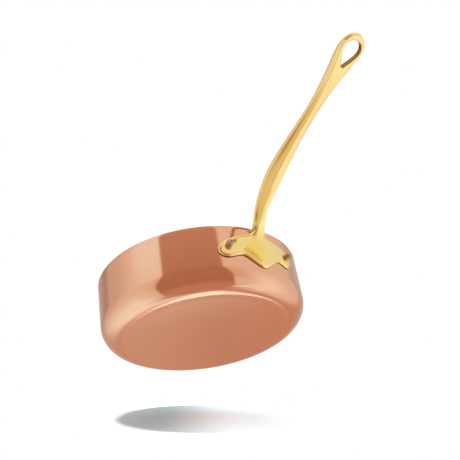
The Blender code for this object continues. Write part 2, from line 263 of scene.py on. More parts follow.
beside = between(*SIDE_SOFTNESS) * studio.step(elevation, *SIDE_BOTTOM) * studio.step(elevation, *SIDE_TOP)
light = studio.blend(beside, light, GAP_SIDE)
light = studio.blend(studio.step(elevation, *FLOOR_SPAN), light, FLOOR_BROWN)
gap_colour = GAP_TOP
for span, colour in ((BROWN_SPAN, GAP_BROWN), (FOOT_SPAN, GAP_FOOT), (GAP_FLOOR, FLOOR_BROWN)):
    gap_colour = studio.blend(studio.step(elevation, *span), gap_colour, colour)
in_gap = between(*GAP_SOFTNESS) * studio.step(elevation, *GAP_CEILING)
light = studio.blend(in_gap, light, gap_colour)
for title, window, colour in BRIGHT_SPOTS:
    light = studio.blend(panel(*window), light, colour)
to_camera = studio.node("LightPath", output="Is Camera Ray")
background = studio.node("Background", {}, {"Color": studio.blend(to_camera, light, WHITE)})
studio.node("OutputWorld", {}, {"Surface": background})
print("in place: gap,", ", ".join(title for title, window, colour in BRIGHT_SPOTS))

# %% [markdown]
# The pan stands on a pale floor, but the photograph's camera is below that floor and looks up at the
# base. So the floor shows from above only: its back lets everything through. In the photograph the
# pan floats over a table, tilted, and a soft shadow lies under it. A round card, tilted like that
# table against the pan, catches this shadow. Both are far brighter than white for the camera, so
# only real shade is seen on them, and the card has painted light that grows to its right and fades
# the shadow there. One lamp makes the shadow and nothing else: metal doesn't show it.
# The brown studio tints the shade, so both surfaces are bluish and the lamp is warm: where the three
# meet, the shadow and its soft edge come out grey.

# %% Floor, shadow card and shadow lamp
FLOOR_SIZE = 12.0
FLOOR_DEPTH = 0.05 * MM
FLOOR_BRIGHTNESS = (1.32, 1.5, 1.59)
CARD_PLACE = Vector((-26.0, 11.5, -39.4)) * MM
CARD_UP = Vector((0.4354, -0.1376, 0.8897))
CARD_RIGHT = Vector((0.571, 0.8062, -0.1548))
CARD_RADIUS = 76 * MM
CARD_BRIGHTNESS = (0.66, 0.95, 1.12)
# The card's painted light to its right, which fades the shadow there, and its extra brightness at its rim,
# with the distances of none and of all
CARD_PAINTED_LIGHT = 1.35
CARD_PAINTED_LIGHT_SPAN = (-32 * MM, 20 * MM)
CARD_RIM_RISE = 3
CARD_RIM_SPAN = (0.75 * CARD_RADIUS, CARD_RADIUS)
CARD_CORNERS = 96
LAMP_HEIGHT = 1.2
LAMP_SHIFT = -0.26
LAMP_SIZE = 0.18
LAMP_POWER = 20.0
LAMP_COLOUR = (1.0, 0.70, 0.60)


def card_level(tree):
    """The card's level: painted light that rises to the right and fades the shadow there, and a rise
    towards the rim, so the outline never shows.
    """
    place = tree.node("NewGeometry", output="Position")
    sideways = tree.node("VectorMath", {"operation": "DOT_PRODUCT"}, {0: place, 1: CARD_RIGHT}, output=1)
    painted_light_to_right = CARD_PAINTED_LIGHT * tree.step(sideways, *CARD_PAINTED_LIGHT_SPAN)
    return 1 + painted_light_to_right + CARD_RIM_RISE * tree.step(tree.distance(place, CARD_PLACE), *CARD_RIM_SPAN)


def white_ground(name, brightness, level_in=None):
    """Diffuse for the camera, brighter than white where nothing shades it, and clear from behind."""
    material = bpy.data.materials.new(name)
    tree = Tree(material)
    level = level_in(tree) if level_in else 1.0
    colour = tree.vector(*(level * part for part in brightness))
    diffuse = tree.node("BsdfDiffuse", {}, {"Color": colour})
    clear = tree.node("BsdfTransparent")
    behind = tree.node("NewGeometry", output="Backfacing")
    surface = tree.node("MixShader", {}, {0: behind, 1: diffuse, 2: clear})
    tree.node("OutputMaterial", {}, {"Surface": surface})
    return material


def only_for_camera(thing):
    """Reflections, light and shadows pass through this object."""
    for kind in ("diffuse", "glossy", "transmission", "volume_scatter", "shadow"):
        setattr(thing, "visible_" + kind, False)


bpy.ops.object.select_all(action="DESELECT")
bpy.ops.mesh.primitive_plane_add(size=FLOOR_SIZE, location=(0, 0, -FLOOR_DEPTH))
floor = bpy.context.active_object
floor.name = "floor"
floor.data.materials.append(white_ground("floor_white", FLOOR_BRIGHTNESS))
only_for_camera(floor)

bpy.ops.mesh.primitive_circle_add(vertices=CARD_CORNERS, radius=CARD_RADIUS, fill_type="NGON",
                                  location=CARD_PLACE)
card = bpy.context.active_object
card.name = "shadow_card"
card.rotation_mode = "QUATERNION"
card.rotation_quaternion = CARD_UP.to_track_quat("Z", "Y")
card.data.materials.append(white_ground("card_white", CARD_BRIGHTNESS, card_level))
only_for_camera(card)

lamp_data = bpy.data.lights.new("shadow_lamp", "AREA")
lamp_data.shape = "DISK"
lamp_data.size = LAMP_SIZE
lamp_data.energy = LAMP_POWER
lamp_data.color = LAMP_COLOUR
lamp = add_object("shadow_lamp", lamp_data)
lamp.location = CARD_PLACE + CARD_UP * LAMP_HEIGHT + CARD_RIGHT * LAMP_SHIFT
lamp.rotation_mode = "QUATERNION"
lamp.rotation_quaternion = (lamp.location - CARD_PLACE).to_track_quat("Z", "Y")
lamp.visible_glossy = False
lamp.visible_camera = False
print("floor", floor.dimensions.x, "m wide, card", round(card.dimensions.x / MM), "mm wide")

# %% [markdown]
# Modelling by hand in Edit Mode means: choose some faces or edges, then use a tool on them. These
# helpers do the choosing in code, by where a face or an edge lies.


# %% Edit helpers
TOLERANCE = 0.01 * MM


def choose(piece):
    """Select one object alone."""
    bpy.ops.object.select_all(action="DESELECT")
    piece.select_set(True)
    bpy.context.view_layer.objects.active = piece


def edit(piece):
    """Go into edit mode with nothing selected."""
    choose(piece)
    bpy.ops.object.mode_set(mode="EDIT")
    bpy.ops.mesh.select_all(action="DESELECT")


def pick(piece, kind, test):
    """In edit mode, select the faces or edges that pass a test."""
    bpy.ops.mesh.select_all(action="DESELECT")
    bpy.ops.mesh.select_mode(type=kind)
    mesh = bmesh.from_edit_mesh(piece.data)
    elements = mesh.faces if kind == "FACE" else mesh.edges
    for element in [element for element in elements if test(element)]:
        element.select_set(True)
    bmesh.update_edit_mesh(piece.data)


def done(piece):
    """Leave edit mode with faces that agree on which way they point, and smooth."""
    bpy.ops.mesh.select_all(action="SELECT")
    bpy.ops.mesh.normals_make_consistent(inside=False)
    bpy.ops.object.mode_set(mode="OBJECT")
    bpy.ops.object.shade_smooth()
    return piece


def apply_modifier(piece, kind, **settings):
    """Add a modifier, set it and apply it."""
    modifier = piece.modifiers.new(kind.lower(), kind)
    for name, value in settings.items():
        setattr(modifier, name, value)
    choose(piece)
    bpy.ops.object.modifier_apply(modifier=modifier.name)


def level(element, height):
    """Whether an edge or a face lies at this height."""
    return all(abs(corner.co.z - height) < TOLERANCE for corner in element.verts)


def on_circle(edge, height, radius):
    """Whether an edge lies on a circle round the Z axis."""
    near = (abs(corner.co.xy.length - radius) < TOLERANCE for corner in edge.verts)
    return level(edge, height) and all(near)


print("edit helpers ready")

# %% [markdown]
# The shell is pressed from a flat disc: a straight wall, a rounded corner and a flat base. Here it
# starts as an open cylinder. A bevel rounds the corner, cuts near the corner and the rim keep the
# reflections straight on the wall, and Solidify gives the sheet its thickness. The lining is the
# same pressing one size smaller, so one function makes both.

# %% Sizes of the pressed pieces
PAN_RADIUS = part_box("copper_shell")[1].y
PAN_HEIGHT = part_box("copper_shell")[1].z
CORNER_RADIUS = 10.8 * MM
COPPER_THICKNESS = 1.4 * MM
LINING_THICKNESS = 0.5 * MM
FIT_GAP = 0.3 * MM
RIM_ROUND = 0.25 * MM
TURN_STEPS = 288
CORNER_STEPS = 20
RIM_STEPS = 3
CORNER_CUT = 0.4 * MM
RIM_CUT = 1.6 * MM
BASE_INSETS = (0.4 * MM, 4 * MM, 12 * MM)
print("pan radius", round(PAN_RADIUS / MM, 2), "mm, height", round(PAN_HEIGHT / MM, 2), "mm")


# %% Press a dish
def press_dish(name, radius, bottom, corner, thickness):
    """An open dish with a rounded corner, its sheet's thickness inside the radius."""
    bpy.ops.object.select_all(action="DESELECT")
    bpy.ops.mesh.primitive_cylinder_add(vertices=TURN_STEPS, radius=radius, depth=PAN_HEIGHT - bottom,
                                        end_fill_type="TRIFAN", location=(0, 0, (PAN_HEIGHT + bottom) / 2))
    dish = bpy.context.active_object
    dish.name = name
    dish.data.name = name
    bpy.ops.object.transform_apply(location=True, rotation=True, scale=True)
    edit(dish)
    pick(dish, "FACE", lambda face: level(face, PAN_HEIGHT))
    bpy.ops.mesh.delete(type="FACE")
    pick(dish, "EDGE", lambda edge: on_circle(edge, bottom, radius))
    bpy.ops.mesh.bevel(offset=corner, offset_type="OFFSET", segments=CORNER_STEPS, profile=0.5)
    for height in (bottom + corner + CORNER_CUT, PAN_HEIGHT - RIM_CUT):
        bpy.ops.mesh.select_all(action="SELECT")
        bpy.ops.mesh.bisect(plane_co=(0, 0, height), plane_no=(0, 0, 1))
    pick(dish, "FACE", lambda face: level(face, bottom))
    for inset in BASE_INSETS:
        bpy.ops.mesh.inset(thickness=inset)
    done(dish)
    apply_modifier(dish, "SOLIDIFY", thickness=thickness, offset=-1.0, use_even_offset=True)
    edit(dish)
    sides = (radius, radius - thickness)
    pick(dish, "EDGE", lambda edge: any(on_circle(edge, PAN_HEIGHT, side) for side in sides))
    bpy.ops.mesh.bevel(offset=RIM_ROUND, segments=RIM_STEPS, profile=0.5)
    return done(dish)


shell = press_dish("copper_body", PAN_RADIUS, 0.0, CORNER_RADIUS, COPPER_THICKNESS)
lining_radius = PAN_RADIUS - COPPER_THICKNESS
lining = press_dish("steel_inside", lining_radius, COPPER_THICKNESS, CORNER_RADIUS - COPPER_THICKNESS,
                    LINING_THICKNESS + FIT_GAP)
for dish in (shell, lining):
    print(dish.name, len(dish.data.polygons), "faces,", round(dish.dimensions.x / MM, 2), "mm wide")

# %% [markdown]
# Bracket, grip and hanging eye are one casting. Its surface flows from a flat plate into a slim
# fluted grip and round an eye, which is hard to build piece by piece. The way chosen here is to
# build the topology first and the shape second. A grid becomes a slab of blocks, its top middle is
# extruded like a chimney, and the eye is cut through the chimney. In this block model a corner's
# coordinates are whole numbers: column across, row along, layer deep. Then every corner is moved
# from its numbers to its real place, and Subdivision Surface rounds the casting.

# %% The bracket's sizes
BRACKET_THICKNESS = 1.3 * MM
# Columns in mm: distance along the wall from the handle's middle, and how far the column's two ends
# lie below the rim. The right wing lies a little higher than the left one.
BRACKET_COLUMNS = (
    (-26.0, 16.9, 14.3),
    (-24.0, 19.5, 11.4),
    (-21.2, 20.2, 9.5),
    (-18.2, 20.0, 8.3),
    (-15.2, 19.0, 7.3),
    (-12.4, 18.3, 6.4),
    (-9.9, 19.2, 5.8),
    (-7.3, 21.1, 5.2),
    (-4.6, 22.9, 3.6),
    (-2.2, 24.3, 1.8),
    (-1.1, 24.7, 1.6),
    (0.0, 24.9, 1.6),
    (1.1, 24.9, 1.6),
    (2.2, 24.7, 1.8),
    (4.6, 23.4, 3.5),
    (7.5, 21.4, 4.8),
    (10.3, 19.3, 5.3),
    (12.9, 17.8, 5.8),
    (15.6, 18.3, 6.4),
    (18.4, 19.2, 7.1),
    (21.2, 19.5, 8.2),
    (23.7, 17.9, 9.9),
    (25.6, 14.9, 12.2),
)
BRACKET_ROWS = (0.0, 0.14, 0.36, 0.62, 0.85, 1.0)
LAYERS = (0.0, 0.3, 0.68, 1.0)
# The front layers lie inside the outline, which rounds the edge. The left lobe's edge is crisper.
EDGE_INSETS = (1.4, 0.4, 0.0, 0.0)
CRISP_EDGE = 0.5
CRISP_START = 4
WING_START = 8
FADE_COLUMNS = 3
# In the middle columns the plate swells up to the root of the grip, and gets wider behind
ROOT_COLUMNS = 2
ROOT_SWELL = (0.0, 0.0, 0.0, 0.04, 0.35, 0.8)
ROOT_SPREAD = 0.65

BACK_OVERLAP = 0.05 * MM
BRACKET_BACK = PAN_RADIUS - BACK_OVERLAP
BRACKET_FRONT = PAN_RADIUS + FIT_GAP + BRACKET_THICKNESS
LAST_COLUMN = len(BRACKET_COLUMNS) // 2
TOP_ROW = len(BRACKET_ROWS) - 1
LAST_LAYER = len(LAYERS) - 1
print("bracket spans", BRACKET_COLUMNS[-1][0] - BRACKET_COLUMNS[0][0], "mm of the wall")

# %% [markdown]
# The handle's underside is a line in the XZ plane: it leaves the bracket steeply, bends outwards,
# sweeps on in a very flat arc and ends in a straight slope. Every station of the grip and the eye
# is measured along this line.

# %% The handle's line
ROOT_OUT = 4.9 * MM
ROOT_ANGLE = math.radians(68.5)
BEND_RADIUS = 26.7 * MM
SWEEP_ANGLE = math.radians(34.2)
SWEEP_RADIUS = 247.5 * MM
SLOPE_ANGLE = math.radians(22.0)
SLOPE_LENGTH = 46.4 * MM
BEND_STEPS = 24


def heading(angle):
    """The direction that rises at this angle, in the XZ plane."""
    return Vector((math.cos(angle), math.sin(angle)))


def underside_path():
    """Points of the underside in the XZ plane, and how far along it each one lies."""
    points = [Vector((PAN_RADIUS + ROOT_OUT, PAN_HEIGHT - BRACKET_COLUMNS[LAST_COLUMN][2] * MM))]
    bend = (BEND_RADIUS, ROOT_ANGLE, SWEEP_ANGLE)
    sweep = (SWEEP_RADIUS, SWEEP_ANGLE, SLOPE_ANGLE)
    for radius, start, end in (bend, sweep):
        turn = (start - end) / BEND_STEPS
        for i in range(BEND_STEPS):
            points.append(points[-1] + heading(start - turn * (i + 0.5)) * radius * turn)
    points.append(points[-1] + heading(SLOPE_ANGLE) * SLOPE_LENGTH)
    distances = [0.0]
    for before, after in zip(points, points[1:]):
        distances.append(distances[-1] + (after - before).length)
    return points, distances


PATH, PATH_DISTANCES = underside_path()
HANDLE_LENGTH = PATH_DISTANCES[-1]


def on_handle(distance, across, depth):
    """A point at a distance along the underside, across it, and deep into the handle from it."""
    i = 0
    while i < len(PATH) - 2 and PATH_DISTANCES[i + 1] < distance:
        i += 1
    direction = (PATH[i + 1] - PATH[i]).normalized()
    foot_point = PATH[i] + direction * (distance - PATH_DISTANCES[i])
    return Vector((foot_point.x - direction.y * depth, across, foot_point.y + direction.x * depth))


print("handle's underside:", round(HANDLE_LENGTH / MM, 1), "mm long")

# %% [markdown]
# Cross-sections do the rest. Seen from below, the grip is a narrow rounded rib, its flanks are
# hollow, and its top is a wider flat strip. Each station gives the widths and depths at one place.
# The ring has a station where its outline or its eye changes direction.

# %% Sections of the grip and the ring
GRIP_START = 4.4 * MM
RING_JOIN = 6.2 * MM
GRIP_STATIONS = (
    # share of the way, the underside's width, the top's width, depth, height of the top's lip
    (0.0, 3.5, 6.9, 4.2, 1.0),
    (0.045, 3.5, 7.1, 4.7, 1.0),
    (0.105, 3.7, 7.9, 5.4, 1.1),
    (0.2, 4.3, 9.4, 6.0, 1.3),
    (0.31, 4.8, 10.6, 6.2, 1.5),
    (0.425, 4.4, 10.0, 5.4, 1.6),
    (0.555, 3.8, 8.5, 4.6, 1.6),
    (0.68, 3.6, 7.2, 3.9, 1.6),
    (0.795, 3.8, 6.9, 3.6, 1.6),
    (0.875, 4.7, 8.0, 3.5, 1.6),
    (0.935, 6.0, 9.1, 3.4, 1.6),
    (1.0, 7.6, 10.6, 3.4, 1.6),
)
FLUTE_ACROSS = 0.25
FLUTE_DEEP = 0.45
UNDERSIDE_CROWN = 0.25 * MM
TOP_CROWN = 0.4 * MM
RING_DEPTH = 3.2 * MM
RING_LIP = 1.6 * MM
RING_STATIONS = (
    # back from the handle's end and half width, of the outline and of the eye, and the top's flare
    ((18.4, 4.7), (17.7, 0.8), 1.7),
    ((14.4, 5.7), (14.1, 3.2), 1.4),
    ((10.4, 6.7), (10.4, 5.1), 0.8),
    ((6.7, 7.1), (6.8, 5.8), 0.5),
    ((2.9, 5.7), (3.5, 3.6), 0.4),
)
RING_END = ((0.0, 0.0), (0.2, 1.6), (1.0, 3.3))
RING_END_FLARE = 0.4
EYE_TIP = 18.3
EYE_END = 2.5
GRIP_LENGTH = HANDLE_LENGTH - RING_STATIONS[0][0][0] * MM - RING_JOIN - GRIP_START
RING_MIDDLE, RING_HALF_WIDTH = max((outline for outline, eye, flare in RING_STATIONS), key=lambda e: e[1])
FIRST_GRIP_ROW = TOP_ROW + 1
FIRST_RING_ROW = FIRST_GRIP_ROW + len(GRIP_STATIONS)
LAST_RING_ROW = FIRST_RING_ROW + len(RING_STATIONS) - 1
END_ROW = LAST_RING_ROW + 1
print("rows of blocks:", END_ROW + 1)


# %% Where a corner of the blocks goes
def clamp(share):
    """Keep a share between 0 and 1."""
    return min(1.0, max(0.0, share))


def on_bracket(column, row, layer):
    """A corner of the plate, which is bent round the wall. Layer 0 is its front."""
    along, low, high = (value * MM for value in BRACKET_COLUMNS[LAST_COLUMN + column])
    through = LAYERS[layer]
    front = BRACKET_FRONT
    crisp = CRISP_EDGE * clamp((-column - CRISP_START) / FADE_COLUMNS)
    inset = EDGE_INSETS[layer] * MM * (1 - crisp)
    along -= math.copysign(inset, along) * clamp((abs(column) - WING_START) / FADE_COLUMNS)
    low -= inset
    high += inset * (abs(column) > ROOT_COLUMNS)
    drop = low + (high - low) * BRACKET_ROWS[row]
    if abs(column) <= ROOT_COLUMNS:
        front += ROOT_SWELL[row] * (PAN_RADIUS + ROOT_OUT - BRACKET_FRONT)
        along *= 1 + ROOT_SPREAD * ROOT_SWELL[row] * through
    radius = front + (BRACKET_BACK - front) * through
    angle = along / PAN_RADIUS
    return Vector((radius * math.cos(angle), radius * math.sin(angle), PAN_HEIGHT - drop))


def on_grip(column, station, layer):
    """A corner of a grip section: underside, hollow of the flank, edge of the lip, top."""
    share, *sizes = GRIP_STATIONS[station]
    under, top, depth, lip = (size * MM for size in sizes)
    half_under, half_top = under / 2, top / 2
    bulge = 1 - abs(column) / 2
    side = math.copysign(1, column)
    across, deep = (
        (half_under * column / 2, -UNDERSIDE_CROWN * bulge),
        (side * (half_under + FLUTE_ACROSS * (half_top - half_under)), FLUTE_DEEP * (depth - lip)),
        (side * half_top, depth - lip),
        (half_top * column / 2, depth + TOP_CROWN * bulge),
    )[layer]
    return on_handle(GRIP_START + share * GRIP_LENGTH, across, deep)


def on_ring_side(back, half_width, flare, layer):
    """A corner of the ring's outer side, which flares out towards the top."""
    deep = (0.0, FLUTE_DEEP * (RING_DEPTH - RING_LIP), RING_DEPTH - RING_LIP, RING_DEPTH)[layer]
    grow = (0.0, FLUTE_ACROSS * flare, flare, flare)[layer]
    endways = max(0.0, 1.0 - back / RING_MIDDLE)
    sideways = half_width / RING_HALF_WIDTH if endways else math.copysign(1.0, half_width)
    distance = HANDLE_LENGTH - (back - grow * endways) * MM
    return on_handle(distance, (half_width + grow * sideways) * MM, deep)


def on_ring(column, station, layer):
    """A corner of the ring: its outline at the outer columns, its eye at the inner ones."""
    (back, half_width), (eye_back, eye_half), flare = RING_STATIONS[station]
    side = math.copysign(1, column)
    if abs(column) == 2:
        return on_ring_side(back, side * half_width, flare, layer)
    if column == 0:
        eye_back, eye_half = (EYE_END if station else EYE_TIP), 0.0
    return on_handle(HANDLE_LENGTH - eye_back * MM, side * eye_half * MM, RING_DEPTH * layer / LAST_LAYER)


def real_place(column, row, layer):
    """From a corner's three numbers to its place on the pan."""
    if row <= TOP_ROW:
        return on_bracket(column, row, layer)
    if row < FIRST_RING_ROW:
        return on_grip(column, row - FIRST_GRIP_ROW, layer)
    if row <= LAST_RING_ROW:
        return on_ring(column, row - FIRST_RING_ROW, layer)
    back, half_width = RING_END[abs(column)]
    return on_ring_side(back, math.copysign(half_width, column), RING_END_FLARE, layer)


print("the handle ends at x =", round(on_handle(HANDLE_LENGTH, 0, 0).x / MM, 1), "mm")

# %% [markdown]
# A crease tells Subdivision Surface how much of an edge to keep. On the casting, edges that the
# maker left crisp get a high value and edges that were ground round get a low one. In the block
# model an edge is known by its two corners' numbers.

# %% Creases
SOFT_EDGE = 0.35
FLUTE_EDGE = 0.6
EYE_EDGE = 0.93
BACK_EDGE = 0.9
LAYER_EDGES = {0: FLUTE_EDGE, 2: SOFT_EDGE, 3: SOFT_EDGE}


def on_outline(column, row):
    """Whether a corner of the plate lies on its outline."""
    return abs(column) == LAST_COLUMN or row == 0 or (row == TOP_ROW and abs(column) >= ROOT_COLUMNS)


def crease_of(first, second):
    """The crease between two neighbouring corners of the block model."""
    (column, row, layer), (other_column, other_row, other_layer) = first, second
    if layer != other_layer:
        return 0.0
    if max(row, other_row) <= TOP_ROW:
        at_edge = on_outline(column, row) and on_outline(other_column, other_row)
        return BACK_EDGE if at_edge and layer == LAST_LAYER else 0.0
    lengthways = row != other_row
    along_side = lengthways and abs(column) == abs(other_column) == 2
    if along_side or row == other_row == END_ROW:
        return LAYER_EDGES.get(layer, 0.0)
    in_ring = FIRST_RING_ROW <= min(row, other_row) and max(row, other_row) <= LAST_RING_ROW
    if not in_ring or max(abs(column), abs(other_column)) > 1:
        return 0.0
    round_eye = column == other_column != 0 if lengthways else row in (FIRST_RING_ROW, LAST_RING_ROW)
    return EYE_EDGE if round_eye else 0.0


print("crease rules ready")

# %% [markdown]
# Two kinds of places on the casting get a painted dark reflection in the brass's colour: the hollows
# of the flanks, and the narrow sides of the plate and of the eye. The hollows are rougher as well. The
# block model knows where they are, so each corner gets two numbers for them. They stay in the mesh as
# attributes, and the brass material reads them.

# %% Places with a painted dark reflection
PAINTED_HOLLOW = "hollow"
PAINTED_SIDE = "side"
# The painted dark number in the hollows from this station of the grip on, and the number on the ring's
# outside
PAINTED_HOLLOW_FADE = {8: 0.6, 9: 0.35, 10: 0.18, 11: 0.0}
RING_PAINTED_SIDE = 0.3


def painted_hollow_of(row, layer):
    """1 in the hollow of a flank, where a dark reflection is painted, fading where the flutes run out
    before the ring.
    """
    if layer != 1 or not FIRST_GRIP_ROW <= row < FIRST_RING_ROW:
        return 0.0
    return PAINTED_HOLLOW_FADE.get(row - FIRST_GRIP_ROW, 1.0)


def painted_side_of(column, row, layer):
    """Painted dark reflection: 1 at the plate's narrow side and at the eye, less at the ring's outside."""
    if row <= TOP_ROW:
        return float(layer > 0 and on_outline(column, row))
    if row < FIRST_RING_ROW:
        return 0.0
    return 1.0 if abs(column) <= 1 and row <= LAST_RING_ROW else RING_PAINTED_SIDE


print("painted_dark places:", PAINTED_HOLLOW, "and", PAINTED_SIDE)

# %% [markdown]
# Now the casting can be made: a grid, three extrusions for its depth, many extrusions out of its top
# middle for the grip and the ring, and a bridge between the two sides of the eye. The places of the
# corners are whole numbers until the last moment, so they can be rounded and looked up. One fault is
# left here: the faces of this casting agree with each other, but they point inwards.


# %% Cast the handle
def cast_handle(name):
    """Blocks, then places, then rounding."""
    bpy.ops.object.select_all(action="DESELECT")
    bpy.ops.mesh.primitive_grid_add(x_subdivisions=2 * LAST_COLUMN, y_subdivisions=TOP_ROW, size=1)
    casting = bpy.context.active_object
    casting.name = name
    casting.data.name = name
    edit(casting)
    bpy.ops.mesh.select_all(action="SELECT")
    bpy.ops.transform.resize(value=(2 * LAST_COLUMN, TOP_ROW, 1))
    bpy.ops.transform.translate(value=(0, TOP_ROW / 2, 0))
    for layer in range(LAST_LAYER):
        bpy.ops.mesh.extrude_region_move(TRANSFORM_OT_translate={"value": (0, 0, 1)})
    pick(casting, "FACE", lambda face: face.calc_center_median().y > TOP_ROW - 0.1
         and abs(face.calc_center_median().x) < ROOT_COLUMNS)
    for row in range(TOP_ROW, END_ROW):
        bpy.ops.mesh.extrude_region_move(TRANSFORM_OT_translate={"value": (0, 1, 0)})
    pick(casting, "FACE", lambda face: abs(face.calc_center_median().x) < 1
         and FIRST_RING_ROW < face.calc_center_median().y < LAST_RING_ROW
         and abs(face.normal.z) > 0.5)
    bpy.ops.mesh.delete(type="FACE")
    pick(casting, "EDGE", lambda edge: len(edge.link_faces) == 1)
    bpy.ops.mesh.bridge_edge_loops()
    mesh = bmesh.from_edit_mesh(casting.data)
    for title in (PAINTED_HOLLOW, PAINTED_SIDE):
        mesh.verts.layers.float.new(title)
    hollow, side = (mesh.verts.layers.float[title] for title in (PAINTED_HOLLOW, PAINTED_SIDE))
    crease = mesh.edges.layers.float.new("crease_edge")
    numbers = {corner: tuple(round(value) for value in corner.co) for corner in mesh.verts}
    for edge in mesh.edges:
        edge[crease] = crease_of(*(numbers[corner] for corner in edge.verts))
    for corner, (column, row, layer) in numbers.items():
        corner[hollow] = painted_hollow_of(row, layer)
        corner[side] = painted_side_of(column, row, layer)
        corner.co = real_place(column, row, layer)
    bmesh.update_edit_mesh(casting.data)
    done(casting)
    blocks = len(casting.data.polygons)
    apply_modifier(casting, "SUBSURF", levels=3, render_levels=3)
    print(name, blocks, "blocks,", len(casting.data.polygons), "faces")
    return casting


handle = cast_handle("brass_handle")

# %% [markdown]
# The bracket's face isn't flat. Above the edge of its middle lobe somebody has filed a broad groove,
# which leaves a bright bead along the edge, and a fine one runs on the other side. They are carved
# into the rounded casting: each point of the face that lies near a groove's line sinks towards the
# wall. Distance along the wall and drop below the rim are the coordinates, as for the columns. Where
# the broad groove is deepest, its dark reflection is painted into the brass too, so carving also sets
# the number of the hollows there.

# %% Grooves in the bracket's face
GROOVES = (
    # half widths above and below, then the line: distance along the wall, drop and depth
    (2.1, 1.3, ((-10.6, 15.7, 0.75), (-7.6, 17.2, 0.95), (-5.0, 19.4, 0.95), (-2.3, 21.4, 0.65))),
    (0.85, 0.85, ((9.7, 16.9, 0.1), (12.9, 16.4, 0.25), (15.8, 17.1, 0.25), (19.2, 18.0, 0.1))),
)
# The part of the face that grooves may reach, and the least sink that counts
FACE_MARGIN = 0.2 * MM
GROOVE_TOP = 11
GROOVE_REACH = 23
LEAST_SINK = 0.01
# The sinks at which the groove's painted dark reflection starts and is full, and its number at full
SHADE_START = 0.45
SHADE_FULL = 0.6
GROOVE_SHADE = 0.35


def sink_in(point, above, below, line):
    """How deep a groove is at a point of the face."""
    found = []
    for start, end in zip(line, line[1:]):
        share = intersect_point_line(point, Vector(start[:2]), Vector(end[:2]))[1]
        along, drop, depth = Vector(start).lerp(Vector(end), clamp(share))
        offset = point - Vector((along, drop))
        found.append((offset.length, offset.y, depth))
    away, downwards, depth = min(found)
    half_width = (above + below) / 2 - (above - below) / 2 * downwards / max(away, LEAST_SINK)
    return depth * math.exp(-(away / half_width) ** 2)


def carve_grooves(casting):
    """Sink the face along each groove. Returns how many points moved."""
    moved = 0
    hollow = casting.data.attributes[PAINTED_HOLLOW].data
    for corner in casting.data.vertices:
        radius = corner.co.xy.length
        angle = math.atan2(corner.co.y, corner.co.x)
        spot = Vector((angle * PAN_RADIUS, PAN_HEIGHT - corner.co.z)) / MM
        if radius > BRACKET_FRONT + FACE_MARGIN or spot.y < GROOVE_TOP or abs(spot.x) > GROOVE_REACH:
            continue
        surface = clamp((radius - BRACKET_BACK) / (BRACKET_FRONT - BRACKET_BACK))
        sink = surface * sum(sink_in(spot, *groove) for groove in GROOVES)
        if sink > LEAST_SINK:
            corner.co.xy *= 1 - sink * MM / radius
            # Where the groove is deep, a dark reflection is painted into the brass
            shade = (sink - SHADE_START) / (SHADE_FULL - SHADE_START)
            hollow[corner.index].value = GROOVE_SHADE * clamp(shade)
            moved += 1
    return moved


print("points carved:", carve_grooves(handle))

# %% [markdown]
# The number for the narrow sides' painted dark reflection came from the corners of the blocks, so it
# has spread over the faces beside them too. A narrow side can be told from a face by where it points:
# the plate's faces point towards or away from the wall, and the ring's faces up or down across the
# slope of the handle.

# %% Keep the narrow sides only
FACE_LIMIT = 0.55
PLATE_MARGIN = 1 * MM


def trim_sides(casting):
    """Take the number away from the broad faces. Returns how many points keep it."""
    across_slope = Vector((-math.sin(SLOPE_ANGLE), 0, math.cos(SLOPE_ANGLE)))
    values = casting.data.attributes[PAINTED_SIDE].data
    for corner in casting.data.vertices:
        on_plate = corner.co.xy.length < BRACKET_FRONT + PLATE_MARGIN
        broad = Vector((corner.co.x, corner.co.y, 0)).normalized() if on_plate else across_slope
        values[corner.index].value *= clamp(1 - abs(corner.normal.dot(broad)) / FACE_LIMIT)
    return sum(entry.value > 0 for entry in values)


print("points on narrow sides:", trim_sides(handle))

# %% [markdown]
# A rivet is turned: half of its section is drawn as a line, and Spin turns the line round its axis.
# The outer head is short and round, with a dished face and a narrower foot, so light gets under it.
# The inner head is a flat disc. Both lie on the axis that runs through the wall.

# %% Rivets
# Distance along the wall from the handle's middle, and drop below the rim
RIVETS = {"left_rivet": (-19.6 * MM, 13.0 * MM), "right_rivet": (21.6 * MM, 11.4 * MM)}
SHANK_RADIUS = 1.5 * MM
OUTER_HEAD_RADIUS = 2.1 * MM
OUTER_HEAD_FOOT = 1.7 * MM
OUTER_HEAD_HEIGHT = 2.4 * MM
OUTER_HEAD_ROUND = 0.75 * MM
HEAD_DISH = 0.5 * MM
DISH_SHARES = (0.3, 0.55, 0.72, 0.84, 0.93)
INNER_HEAD_RADIUS = 3.3 * MM
INNER_HEAD_HEIGHT = 0.8 * MM
INNER_HEAD_ROUND = 0.4 * MM
INNER_HEAD_DISH = 0.1 * MM
INNER_DISH_SHARE = 0.6
# Where an arc of the section starts and ends, in degrees up from the side
OUTER_ARC = (90, -40)
INNER_ARC = (0, -90)
ARC_STEPS = 6
RIVET_STEPS = 56
SMOOTH_LIMIT = math.radians(35)


def arc(middle, height, radius, start, end):
    """Points of an arc in a rivet's half section."""
    angles = [math.radians(start + (end - start) * i / ARC_STEPS) for i in range(ARC_STEPS + 1)]
    return [(middle + radius * math.cos(a), height + radius * math.sin(a)) for a in angles]


